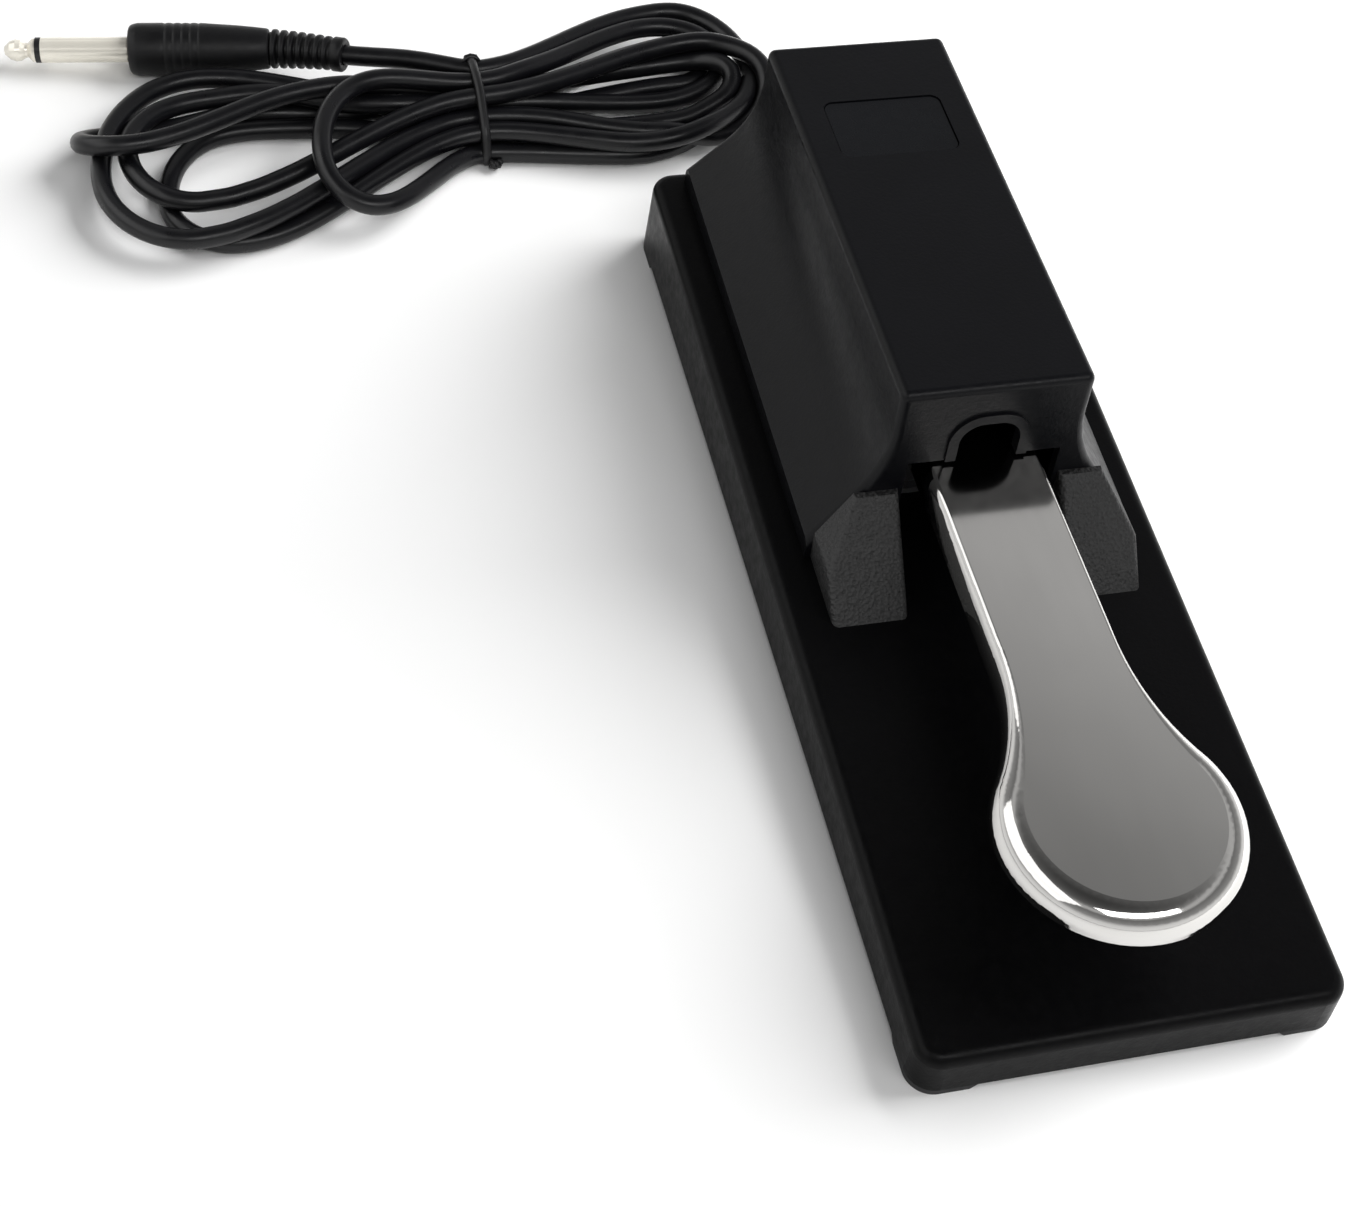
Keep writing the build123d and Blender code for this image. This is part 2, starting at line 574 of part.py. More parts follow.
def inner_wire(terminal, end_x, end_z):
    """One insulated wire from the cord's end to a terminal of the switch."""
    start = (CORD_X + end_x, CORD_INNER_Y, CORD_Z + end_z)
    points = [
        start,
        (CORD_X + end_x, CORD_INNER_Y - 6, CORD_Z + end_z),
        (0.6 * CORD_X, TERMINAL_END + 4, TERMINAL_Z[terminal] + 0.5),
        (0, TERMINAL_END - 0.5, TERMINAL_Z[terminal] + 0.4 + WIRE_R),
    ]
    path = FilletPolyline(*points, radius=[2.2, 2.0])
    return sweep(Plane(origin=path @ 0, z_dir=path % 0) * Circle(WIRE_R), path=path)


def cord_inner():
    """The cord's stretch through the clamp and the strain relief."""
    return rod((CORD_X, CORD_INNER_Y, CORD_Z), (CORD_X, RELIEF_END_Y, CORD_Z), CORD_R)


def cord_clamp():
    """A saddle that grips the cord inside the housing."""
    x0, x1 = CORD_X - 8.0, CORD_X + 8.0
    saddle = block(x0, x1, 103.0, 108.0, 5, CORD_Z + CORD_R + 2)
    saddle = fillet(saddle.edges().filter_by(Axis.Y).group_by(Axis.Z)[-1], 2.0)
    saddle -= rod((CORD_X, 90, CORD_Z), (CORD_X, 120, CORD_Z), CORD_R)
    for x in (CORD_X - 5.6, CORD_X + 5.6):
        saddle -= rod((x, 105.5, 22), (x, 105.5, 40), M2)
    return above_base(saddle)


def clamp_screws():
    z = CORD_Z + CORD_R + 2
    screws = [pan_head_screw(x, 105.5, z, 8, M2, up=False) for x in (CORD_X - 5.6, CORD_X + 5.6)]
    return Compound(children=screws)


def rear_wall_y(z, inset=0.0):
    """Where the housing's rear wall is, at a height."""
    foot_z = top_z(HOUSE_REAR_Y)
    return HOUSE_REAR_Y - inset - HOUSE_LEAN_REAR * (z - foot_z) / (HOUSE_TOP_FRONT - foot_z)


def strain_relief():
    """A rubber bush clipped in the rear wall, with a ribbed, tapering tail."""
    outer_y, inner_y = rear_wall_y(CORD_Z), rear_wall_y(CORD_Z, HOUSE_WALL)
    tail_start = outer_y + 2.2

    def ring(y0, y1, r0, r1=None):
        if r1 is None:
            return rod((CORD_X, y0, CORD_Z), (CORD_X, y1, CORD_Z), r0)
        cone = Cone(r0, r1, y1 - y0, align=(Align.CENTER, Align.CENTER, Align.MIN))
        return Pos(CORD_X, y0, CORD_Z) * Rot(-90, 0, 0) * cone

    relief = ring(inner_y - 2.0, inner_y - 0.5, 5.6)
    relief += ring(inner_y - 0.6, outer_y + 0.6, RELIEF_NECK_R)
    relief += ring(outer_y + 0.5, tail_start, 5.8)
    relief += ring(tail_start - 0.1, RELIEF_END_Y, 4.9, 3.3)
    for i in range(4):
        y = tail_start + 2.0 + 2.9 * i
        relief -= ring(y, y + 1.2, 8) - ring(y, y + 1.2, 3.1)
    return relief - ring(95, 140, CORD_R)


# ---------------------------------------------------------------- cord, outside


def corner_radii(points):
    """For each corner of a route, the largest radius that its two runs allow."""
    radii = []
    for a, b, c in zip(points, points[1:], points[2:]):
        before, after = Vector(*b) - Vector(*a), Vector(*c) - Vector(*b)
        half_turn = radians(before.get_angle(after)) / 2
        radii.append(0.45 * min(before.length, after.length) / tan(half_turn))
    return radii


def cord_tube():
    radii = corner_radii(CORD_POINTS)
    print("cord radii", [round(r, 1) for r in radii])
    path = FilletPolyline(*CORD_POINTS, radius=radii)
    tube = sweep(Plane(origin=path @ 0, z_dir=path % 0) * Circle(CORD_R), path=path)
    print("cord tube volume", round(tube.volume, 1), "section x length", round(pi * CORD_R**2 * path.length, 1))
    return tube


def lobe(x, y, half_x, half_y, height):
    return Pos(x, y, 0) * extrude(Ellipse(half_x, half_y), height)


def cord_hank():
    """The tied hank's outer shape: two fanned ends joined by the tied waist, and the plug's lead."""
    hank = lobe(*HANK_LEFT) + lobe(*HANK_RIGHT)
    hank += block(WAIST_X0, WAIST_X1, WAIST_Y0, WAIST_Y1, 0, WAIST_H)
    hank += rod(BOOT_END, TAIL_END, CORD_R)
    end_x, end_y, end_z = CORD_POINTS[-1]
    hank -= block(end_x, 20, end_y - 5, end_y + 6, -1, end_z + 6)
    groove = block(TIE_X - TIE_W / 2, TIE_X + TIE_W / 2, 130, 200, -5, 60)
    waist = block(TIE_X - 9, TIE_X + 9, WAIST_Y0 + TIE_T, WAIST_Y1 - TIE_T, TIE_T, WAIST_H - TIE_T)
    return hank - (groove - waist)


def cord_tie():
    """A thin twist tie round the waist, with its twisted ends on top."""
    x0, x1 = TIE_X - TIE_W / 2, TIE_X + TIE_W / 2
    band = block(x0, x1, WAIST_Y0, WAIST_Y1, 0, WAIST_H)
    band -= block(x0 - 1, x1 + 1, WAIST_Y0 + TIE_T, WAIST_Y1 - TIE_T, TIE_T, WAIST_H - TIE_T)
    knot = rod((TIE_X, WAIST_Y1 - 5, WAIST_H + 0.4), (TIE_X, WAIST_Y1 + 1.5, WAIST_H + 0.4), 1.3)
    return band + knot


# ---------------------------------------------------------------- plug


def plug_axis():
    """The plug's frame: local z runs from its tip back along the barrel."""
    tip, back = Vector(*PLUG_TIP_END), Vector(*PLUG_BACK)
    return Plane(origin=tip, z_dir=back - tip)


def turned(points):
    """A solid turned about the plug's axis from (radius, distance) points."""
    outline = make_face(Polyline(*points, close=True))
    solid = revolve(Plane.XZ * outline, Axis.Z)
    return plug_axis().location * solid


def plug_tip():
    """The ball tip, its neck and the core that carries it."""
    points = [(0, 0), (1.1, 0.25), (2.3, 1.6), (2.75, 3.1), (2.6, 4.3), (1.9, 5.4), (1.75, 6.0)]
    points += [(2.9, 7.2), (2.9, 8.0), (0.8, 8.0), (0.8, 26.0), (0, 26.0)]
    return turned(points)


def plug_insulator():
    return turned([(0.8, 8.0), (PLUG_R, 8.0), (PLUG_R, 9.4), (1.6, 9.4), (1.6, 26.0), (0.8, 26.0)])


def plug_sleeve():
    front, back = PLUG_LEN - 0.5, PLUG_LEN + 2
    return turned([(1.6, 9.4), (PLUG_R, 9.4), (PLUG_R, front), (2.8, front), (2.8, back), (1.6, back)])


def plug_barrel():
    """The moulded grip, rounded at its front and tapering towards the boot."""
    length = (Vector(*PLUG_BACK) - Vector(*PLUG_TIP_END)).length
    front = PLUG_LEN
    points = [(2.8, front), (5.6, front), (6.2, front + 0.7), (BARREL_R, front + 2.0)]
    points += [(BARREL_R, front + 20), (5.0, length), (0, length), (0, front + 2), (2.8, front + 2)]
    return turned(points)


def plug_boot():
    """The ribbed strain relief behind the barrel, bent towards the cord."""
    back, end = Vector(*PLUG_BACK), Vector(*BOOT_END)
    along = (end - back).normalized()
    length = (end - back).length
    place = Plane(origin=back, z_dir=along).location
    core = Cone(4.0, 3.6, length - 3, align=(Align.CENTER, Align.CENTER, Align.MIN))
    boot = place * core
    ribs, pitch = 6, (length - 4.5) / 6
    for i in range(ribs):
        radius = 4.9 - 0.12 * i
        boot += place * Pos(0, 0, 0.6 + pitch * i) * extrude(Circle(radius), pitch * 0.55)
    collar = place * Pos(0, 0, length - 3.6) * extrude(Circle(4.3), 3.6)
    return (boot + collar) - plug_barrel()


# ---------------------------------------------------------------- fasteners


def base_screws():
    z = PLATE_BOTTOM
    screws = [pan_head_screw(x, y, z, top_z(y) - BASE_WALL - 1 - z, M3) for x, y in BASE_SCREWS]
    return Compound(children=screws)


def screws_from_below(places, into):
    """Screws with their heads under the base's top wall."""
    screws = []
    for x, y in places:
        head = top_z(y) - BASE_WALL - 0.15
        screws.append(pan_head_screw(x, y, head, BASE_WALL + into, M3))
    return Compound(children=screws)


def chassis_screws():
    """Screws down through the chassis floor into nuts under the base's top wall."""
    screws = []
    for x, y in CHASSIS_SCREWS:
        z = top_z(y) + CHASSIS_T + 0.1
        screws.append(pan_head_screw(x, y, z, 8, M3, up=False))
    return Compound(children=screws)


def chassis_nuts():
    nuts = []
    for x, y in CHASSIS_SCREWS:
        z = top_z(y) - BASE_WALL - 2.5
        nut = Pos(x, y, z) * extrude(RegularPolygon(3.0, 6), 2.3)
        nuts.append(nut - rod((x, y, 0), (x, y, 40), M3))
    return Compound(children=nuts)


# ---------------------------------------------------------------- build


def build():
    os.makedirs("parts", exist_ok=True)
    save("base_shell", base_shell())
    save("base_plate", base_plate())
    for side_name, side in (("left", -1), ("right", 1)):
        for end_name, end in (("front", -1), ("rear", 1)):
            save(f"foot_{end_name}_{side_name}", foot(side, end))
    save("housing_shell", housing_shell())
    save("label_plate", label_plate())
    right_guide = guide_block()
    save("guide_block_right", right_guide)
    save("guide_block_left", mirrored(right_guide))
    save("pedal_plate", pedal_plate())
    save("pivot_pin", pivot_pin())
    save("pin_clips", pin_clips())
    save("chassis_bracket", chassis_bracket())
    save("pivot_bush_left", pivot_bush(-1))
    save("pivot_bush_right", pivot_bush(1))
    save("up_stop_pad", up_stop_pad())
    save("down_stop_pad", down_stop_pad())
    save("spring_seat", spring_seat())
    save("return_spring", return_spring())
    save("switch_bracket", switch_bracket())
    save("switch_body", switch_body())
    save("switch_button", switch_button())
    save("switch_lever", switch_lever())
    save("lever_pin", lever_pin())
    save("switch_terminals", switch_terminals())
    save("wire_signal", inner_wire(2, -0.9, 0.4))
    save("wire_ground", inner_wire(0, 0.9, -0.4))
    save("cord_inner", cord_inner())
    save("cord_clamp", cord_clamp())
    save("clamp_screws", clamp_screws())
    save("strain_relief", strain_relief())
    save("cord_tube", cord_tube())
    save("cord_hank", cord_hank())
    save("cord_tie", cord_tie())
    save("plug_tip", plug_tip())
    save("plug_insulator", plug_insulator())
    save("plug_sleeve", plug_sleeve())
    save("plug_barrel", plug_barrel())
    save("plug_boot", plug_boot())
    save("base_screws", base_screws())
    save("housing_screws", screws_from_below(HOUSE_SCREWS, 8.0))
    save("guide_screws", screws_from_below(GUIDE_SCREWS, 6.0))
    save("chassis_screws", chassis_screws())
    save("chassis_nuts", chassis_nuts())


build()
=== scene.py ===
"""Sustain pedal: its cord in a tied hank, its plug, materials, light and camera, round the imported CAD.

Metres, in the CAD's frame: +X to the right, +Y to the rear, +Z up, the floor at z = 0.
"""

import json
import math

import bpy
import numpy as np
from mathutils import Matrix, Vector

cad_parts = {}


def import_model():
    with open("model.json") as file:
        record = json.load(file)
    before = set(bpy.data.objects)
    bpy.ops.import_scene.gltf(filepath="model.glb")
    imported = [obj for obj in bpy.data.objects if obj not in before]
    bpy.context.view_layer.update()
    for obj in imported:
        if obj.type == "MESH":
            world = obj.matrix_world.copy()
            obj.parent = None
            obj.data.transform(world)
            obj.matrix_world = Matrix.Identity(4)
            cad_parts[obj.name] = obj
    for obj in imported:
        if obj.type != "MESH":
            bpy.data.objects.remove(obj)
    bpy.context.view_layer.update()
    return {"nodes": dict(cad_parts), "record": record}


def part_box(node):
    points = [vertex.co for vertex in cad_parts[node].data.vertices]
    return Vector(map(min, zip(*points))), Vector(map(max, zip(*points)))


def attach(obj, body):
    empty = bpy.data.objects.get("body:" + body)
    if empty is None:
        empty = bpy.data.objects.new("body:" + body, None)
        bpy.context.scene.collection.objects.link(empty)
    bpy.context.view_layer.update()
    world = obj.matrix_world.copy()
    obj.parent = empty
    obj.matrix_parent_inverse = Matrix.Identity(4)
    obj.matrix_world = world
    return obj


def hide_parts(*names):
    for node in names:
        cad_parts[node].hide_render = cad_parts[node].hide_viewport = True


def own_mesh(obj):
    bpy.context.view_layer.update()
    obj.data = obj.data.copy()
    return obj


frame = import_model()
NODES = frame["nodes"]
MM = 0.001

# ---------------------------------------------------------------- materials


def new_material(name, base, rough, metallic=0.0, specular=0.5):
    """A Principled material with its constants on its own sockets; the rest is added to it."""
    mat = bpy.data.materials.new(name)
    mat.use_nodes = True
    shader = mat.node_tree.nodes["Principled BSDF"]
    shader.inputs["Base Color"].default_value = (*base, 1)
    shader.inputs["Roughness"].default_value = rough
    shader.inputs["Metallic"].default_value = metallic
    shader.inputs["Specular IOR Level"].default_value = specular
    return mat, shader


def add(mat, kind, **values):
    """A node with some of its inputs or settings filled in."""
    node = mat.node_tree.nodes.new(kind)
    for key, value in values.items():
        if key in node.inputs:
            node.inputs[key].default_value = value
        else:
            setattr(node, key, value)
    return node


def link(mat, source, target):
    mat.node_tree.links.new(source, target)


def noise(mat, scale, detail=3.0, rough=0.55, stretch=None):
    """Noise over the object's own coordinates; scale is in cells per metre."""
    coords = add(mat, "ShaderNodeTexCoord")
    source = coords.outputs["Object"]
    if stretch:
        mapping = add(mat, "ShaderNodeMapping")
        mapping.inputs["Scale"].default_value = stretch
        link(mat, source, mapping.inputs["Vector"])
        source = mapping.outputs["Vector"]
    texture = add(mat, "ShaderNodeTexNoise", Scale=scale, Detail=detail, Roughness=rough)
    link(mat, source, texture.inputs["Vector"])
    return texture.outputs["Fac"]


def scaled(tone, by):
    return tuple(c * by for c in tone)


def spread(mat, factor, low, high, start=0.3, stop=0.7):
    """A value from low to high, following a noise."""
    node = add(mat, "ShaderNodeMapRange")
    for key, value in (("From Min", start), ("From Max", stop), ("To Min", low), ("To Max", high)):
        node.inputs[key].default_value = value
    link(mat, factor, node.inputs["Value"])
    return node.outputs["Result"]


def tint(mat, shader, factor, dark, light, start=0.3, stop=0.7):
    """Base colour between two tones, following a noise."""
    ramp = add(mat, "ShaderNodeValToRGB")
    ramp.color_ramp.elements[0].position = start
    ramp.color_ramp.elements[1].position = stop
    ramp.color_ramp.elements[0].color = (*dark, 1)
    ramp.color_ramp.elements[1].color = (*light, 1)
    link(mat, factor, ramp.inputs["Fac"])
    link(mat, ramp.outputs["Color"], shader.inputs["Base Color"])


def bump(mat, shader, heights):
    """Bumps laid over each other; each is (height output, depth in metres)."""
    normal = None
    for height, depth in heights:
        node = add(mat, "ShaderNodeBump", Strength=1.0, Distance=depth)
        link(mat, height, node.inputs["Height"])
        if normal:
            link(mat, normal, node.inputs["Normal"])
        normal = node.outputs["Normal"]
    link(mat, normal, shader.inputs["Normal"])


def moulded(name, tone, rough, specular, grain=1200, depth=0.00004):
    """Spark-eroded moulded plastic: a fine grain, uneven gloss and a faintly cloudy tone."""
    mat, shader = new_material(name, tone, rough, specular=specular)
    tint(mat, shader, noise(mat, 38, 4), tone, scaled(tone, 1.35))
    link(mat, spread(mat, noise(mat, 420, 4), rough - 0.06, rough + 0.08), shader.inputs["Roughness"])
    bump(mat, shader, [(noise(mat, grain, 2, 0.6), depth)])
    return mat


def metal(name, tone, rough, scratch=900, depth=0.000006, vary=0.05, along=None, metallic=1.0):
    """Metal with fine marks and an uneven polish."""
    mat, shader = new_material(name, tone, rough, metallic=metallic)
    tint(mat, shader, noise(mat, 60, 3), scaled(tone, 0.93), tone)
    marks = noise(mat, scratch, 3, 0.6, along)
    link(mat, spread(mat, marks, max(0.02, rough - vary), rough + vary), shader.inputs["Roughness"])
    bump(mat, shader, [(marks, depth)])
    return mat


def rubber(name, tone, rough, grain=900, depth=0.00003, specular=0.4):
    """Rubber or a soft plastic: a faint grain and a patchy sheen."""
    mat, shader = new_material(name, tone, rough, specular=specular)
    tint(mat, shader, noise(mat, 55, 4), scaled(tone, 0.8), scaled(tone, 1.25))
    link(mat, spread(mat, noise(mat, 260, 3), rough - 0.07, rough + 0.07), shader.inputs["Roughness"])
    bump(mat, shader, [(noise(mat, grain, 3), depth)])
    return mat


def grained(name, tone, rough):
    """The guide blocks' coarser, leathery moulding."""
    mat, shader = new_material(name, tone, rough, specular=0.5)
    cells = add(mat, "ShaderNodeTexVoronoi", Scale=1300.0)
    coords = add(mat, "ShaderNodeTexCoord")
    link(mat, coords.outputs["Object"], cells.inputs["Vector"])
    speck = noise(mat, 1300, 3, 0.65)
    tint(mat, shader, speck, scaled(tone, 0.4), scaled(tone, 2.1), 0.38, 0.62)
    link(mat, spread(mat, speck, rough - 0.12, rough + 0.12), shader.inputs["Roughness"])
    bump(mat, shader, [(cells.outputs["Distance"], 0.00025), (speck, 0.0002)])
    return mat


def felt(name, tone):
    """Pressed felt: fine fibres under a soft sheen."""
    mat, shader = new_material(name, tone, 0.95, specular=0.1)
    shader.inputs["Sheen Weight"].default_value = 0.6
    shader.inputs["Sheen Roughness"].default_value = 0.5
    fibres = noise(mat, 2600, 5, 0.7)
    tint(mat, shader, fibres, scaled(tone, 0.6), scaled(tone, 1.3))
    bump(mat, shader, [(fibres, 0.0002)])
    return mat


def pedal_chrome():
    """Chrome over pressed steel: bright rims, a satin bloom on the flat, faint wiping marks along it."""
    mat, shader = new_material("pedal_chrome", (0.66, 0.65, 0.63), 0.2, metallic=1.0)
    tint(mat, shader, noise(mat, 14, 3), (0.60, 0.59, 0.575), (0.70, 0.69, 0.67))
    facing = add(mat, "ShaderNodeNewGeometry")
    parts = add(mat, "ShaderNodeSeparateXYZ")
    link(mat, facing.outputs["Normal"], parts.inputs["Vector"])
    flat = spread(mat, parts.outputs["Z"], 0.06, 0.12, 0.96, 0.999)
    wipe = spread(mat, noise(mat, 260, 4, 0.6, (1.0, 0.12, 1.0)), -0.015, 0.02)
    total = add(mat, "ShaderNodeMath", operation="ADD")
    link(mat, flat, total.inputs[0])
    link(mat, wipe, total.inputs[1])
    link(mat, total.outputs["Value"], shader.inputs["Roughness"])
    bump(mat, shader, [(noise(mat, 40, 1), 0.00002)])
    return mat


MATERIALS = {
    "base_plastic": moulded("base_plastic", (0.0018, 0.0018, 0.0020), 0.34, specular=0.085),
    "housing_plastic": moulded("housing_plastic", (0.0023, 0.0024, 0.0031), 0.36, specular=0.16),
    "guide_plastic": grained("guide_plastic", (0.0062, 0.0062, 0.0063), 0.52),
    "label_plastic": moulded(
        "label_plastic", (0.0026, 0.0029, 0.0038), 0.26, specular=0.2, grain=700, depth=0.00002
    ),
    "pedal_chrome": pedal_chrome(),
    "plate_steel": metal("plate_steel", (0.42, 0.42, 0.43), 0.42, along=(1.0, 0.1, 1.0)),
    "zinc_steel": metal("zinc_steel", (0.55, 0.56, 0.58), 0.36),
    "screw_steel": metal("screw_steel", (0.5, 0.5, 0.52), 0.28),
    "spring_steel": metal("spring_steel", (0.5, 0.49, 0.47), 0.25),
    "nylon": rubber("nylon", (0.62, 0.6, 0.55), 0.42),
    "foot_rubber": rubber("foot_rubber", (0.02, 0.02, 0.021), 0.75, depth=0.00008),
    "stop_rubber": rubber("stop_rubber", (0.015, 0.015, 0.016), 0.7, depth=0.00008),
    "felt": felt("felt", (0.03, 0.03, 0.032)),
    "switch_plastic": rubber("switch_plastic", (0.012, 0.012, 0.013), 0.4),
    "button_plastic": rubber("button_plastic", (0.45, 0.02, 0.015), 0.35),
    "brass": metal("brass", (0.72, 0.55, 0.26), 0.3),
    "wire_white": rubber("wire_white", (0.65, 0.64, 0.6), 0.5),
    "wire_black": rubber("wire_black", (0.01, 0.01, 0.011), 0.45),
    "cord_rubber": rubber("cord_rubber", (0.0030, 0.0030, 0.0038), 0.33, depth=0.00002, specular=0.36),
    "relief_rubber": rubber("relief_rubber", (0.004, 0.004, 0.0045), 0.48),
    "tie_plastic": rubber("tie_plastic", (0.005, 0.005, 0.0055), 0.42),
    # Partly matt nickel: its pale diffuse colour, lit by the key lamp that gloss cannot see, is a painted
    # reflection standing in for the sleeve's bright reflections.
    "plug_nickel": metal("plug_nickel", (0.94, 0.90, 0.80), 0.2, scratch=1400, metallic=0.35),
    "plug_ring": rubber("plug_ring", (0.008, 0.008, 0.009), 0.35),
    "plug_grip": rubber("plug_grip", (0.0045, 0.0045, 0.005), 0.44, grain=1300, depth=0.00004, specular=0.25),
}

for entry in frame["record"]["subparts"]:
    mesh = NODES[entry["node"]].data
    mesh.materials.clear()
    mesh.materials.append(MATERIALS[entry["material_slot"]])


def finish_piece(obj, slot):
    obj.data.materials.append(MATERIALS[slot])
    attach(obj, "base")
    return obj


# ---------------------------------------------------------------- cord and hank (worked in millimetres)

CORD_D = 5.0
TIE_X = -78.0
RELIEF_END = (12.0, 133.0, 27.5)

# out of the strain relief, down to the floor and into the hank's first strand
ROUTE = [
    RELIEF_END, (12, 147, 27.5), (10, 158.5, 19.5), (2, 164, 9), (-8.5, 162, 3.2),
    (-20, 153, 2.6), (-34, 145.4, 2.6), (-50, 147.0, 2.6), (-66, 149.8, 2.6),
]
# out of the hank to the plug
LEAD = [(-92, 179, 11), (-102, 181.5, 10.5), (-108.8, 182.9, 10.6), (-113, 184.6, 10.2)]

# where each strand passes through the tie: (y, z)
STRANDS = [
    (151.3, 2.6), (167.3, 11.6), (164.4, 6.9), (162.0, 11.4), (159.3, 7.0), (163.4, 2.6),
    (168.7, 2.6), (169.6, 7.0), (157.6, 2.6), (154.0, 6.9), (172.4, 11.2),
]
# the half turns between them, left and right by turns: first side, far end, second side
HALF_TURNS = [
    ((-108, 129, 8), (-120, 142, 13), (-102, 168.5, 14)),
    ((-28, 188.5, 9), (-12, 176, 8), (-32, 164.5, 3.5)),
    ((-145, 173, 6), (-166, 155, 7), (-151, 137, 6)),
    ((-20, 177, 10), (-2.5, 163, 10), (-22, 148, 5)),
    ((-152, 123.5, 7), (-173, 147, 7), (-146, 182, 7)),
    ((-22.5, 171.5, 2.6), (-15, 179, 3), (-22.5, 186.5, 2.6)),
    ((-166, 167.5, 3), (-177, 160, 8), (-166, 152.5, 12.5), (-122, 167.5, 12)),
    ((-22, 176, 6), (-9, 166, 7), (-24, 156, 2.6)),
    ((-133, 170, 2.6), (-158, 141, 2.6), (-142, 126, 2.6)),
    ((-36, 145, 6.5), (-4, 168, 7), (-22, 194, 8.5)),
]
STEP = 4.0  # between the hank's points
ROUND = 1.657  # makes a cubic span a quarter of an ellipse


def span(p, q, leave, arrive, count=9):
    """Points from p to q on a cubic that leaves and arrives with these tangents."""
    t = np.linspace(0, 1, count, endpoint=False)[:, None]
    return (
        (2 * t**3 - 3 * t**2 + 1) * p
        + (t**3 - 2 * t**2 + t) * leave
        + (3 * t**2 - 2 * t**3) * q
        + (t**3 - t**2) * arrive
    )


def half_turn(start, keys, stop):
    """One half turn: from the tie out round its far end and back, past a fourth key if it has one."""
    start, side_a, end, side_b, *further, stop = (np.array(v, float) for v in (start, *keys, stop))
    out = np.array([np.sign(end[0] - start[0]), 0, 0])
    across = side_b - side_a
    across[0] = 0
    across /= np.linalg.norm(across)
    run_a = abs(side_a[0] - start[0])
    a, b = end - side_a, side_b - end
    spans = [
        span(start, side_a, out * run_a, out * run_a),
        span(side_a, end, out * abs(a[0]) * ROUND, across * abs(a @ across) * ROUND),
        span(end, side_b, across * abs(b @ across) * ROUND, -out * abs(b[0]) * ROUND),
    ]
    here, leave = side_b, -out
    for key in further:
        run, arrive = abs(key[0] - here[0]), (stop - side_b) / abs(stop[0] - side_b[0])
        spans.append(span(here, key, leave * run, arrive * run))
        here, leave = key, arrive
    run = abs(stop[0] - here[0])
    spans.append(span(here, stop, leave * run, -out * run))
    return np.vstack(spans)


def evenly(line, step):
    """The same line with its points evenly spaced."""
    line = np.array(line, float)
    run = np.concatenate([[0], np.cumsum(np.linalg.norm(np.diff(line, axis=0), axis=1))])
    at = np.linspace(0, run[-1], int(round(run[-1] / step)) + 1)
    return np.stack([np.interp(at, run, line[:, i]) for i in range(3)], 1)


def settle(points, held, rounds=240, spacing=CORD_D + 0.05):
    """Lays the strands on the floor and on each other: where two overlap, they push each other apart."""
    goal = points.copy()
    shift = np.zeros_like(goal)
    i, j = np.triu_indices(len(goal), 4)
    for step in range(rounds):
        p = goal + shift
        gap = p[j] - p[i]
        dist = np.linalg.norm(gap, axis=1)
        near = dist < spacing
        push = gap[near] * ((spacing - dist[near]) / np.maximum(dist[near], 0.1) * 0.5)[:, None]
        move, count = np.zeros_like(p), np.zeros(len(p))
        np.add.at(move, i[near], -push)
        np.add.at(move, j[near], push)
        np.add.at(count, i[near], 1)
        np.add.at(count, j[near], 1)
        shift += move / np.maximum(count, 1)[:, None]
        calm = 0.5 if step < rounds - 30 else 0.2
        shift[1:-1] += ((shift[:-2] + shift[2:]) / 2 - shift[1:-1]) * calm
        shift *= 0.985
        shift[:, 2] = np.maximum(shift[:, 2], CORD_D / 2 + 0.05 - goal[:, 2])
        shift[held] = 0
    return goal + shift


def hank_points():
    """All the cord's points, from its exit to the plug."""
    slots = [np.array((TIE_X, y, z)) for y, z in STRANDS]
    turns = [half_turn(slots[k], keys, slots[k + 1]) for k, keys in enumerate(HALF_TURNS)]
    loose = evenly(np.vstack(turns + [slots[-1][None]]), STEP)
    head, tail = evenly(ROUTE, STEP), evenly(LEAD, STEP)
    line = np.vstack([head, loose, tail])
    held = np.ones(len(line), bool)
    held[len(head):-len(tail)] = False
    settled = settle(line, held)[len(head):-len(tail)]
    return np.vstack([ROUTE, settled, LEAD]) * MM


def nurbs(name, points, radius):
    """A round cord along one smooth spline."""
    curve = bpy.data.curves.new(name, "CURVE")
    curve.dimensions = "3D"
    curve.bevel_depth = radius
    curve.bevel_resolution = 7
    curve.use_fill_caps = True
    curve.resolution_u = 3
    spline = curve.splines.new("NURBS")
    spline.points.add(len(points) - 1)
    for point, place in zip(spline.points, points):
        point.co = (*place, 1)
    spline.order_u = 3
    spline.use_endpoint_u = True
    obj = bpy.data.objects.new(name, curve)
    bpy.context.scene.collection.objects.link(obj)
    return obj


cord_line = hank_points()
cord = nurbs("cord", cord_line, CORD_D / 2 * MM)
finish_piece(cord, "cord_rubber")
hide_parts("cord_tube", "cord_hank")


# ---------------------------------------------------------------- mesh helpers


def mesh_piece(name, verts, faces, slot):
    """A smooth mesh that rides on the base and has its slot's material."""
    mesh = bpy.data.meshes.new(name)
    mesh.from_pydata([tuple(v) for v in verts], [], faces)
    mesh.update()
    obj = bpy.data.objects.new(name, mesh)
    bpy.context.scene.collection.objects.link(obj)
    for poly in mesh.polygons:
        poly.use_smooth = True
    return finish_piece(obj, slot)


def rings_to_faces(rings, around, closed=False):
    """Quads between successive rings of vertices."""
    faces = []
    for r in range(rings if closed else rings - 1):
        low, high = r * around, (r + 1) % rings * around
        for k in range(around):
            n = (k + 1) % around
            faces.append((low + k, low + n, high + n, high + k))
    return faces


def side_axes(along):
    """Two directions square to a direction."""
    along = along / np.linalg.norm(along)
    side = np.cross(along, (0, 0, 1.0))
    side /= np.linalg.norm(side)
    return side, np.cross(side, along)


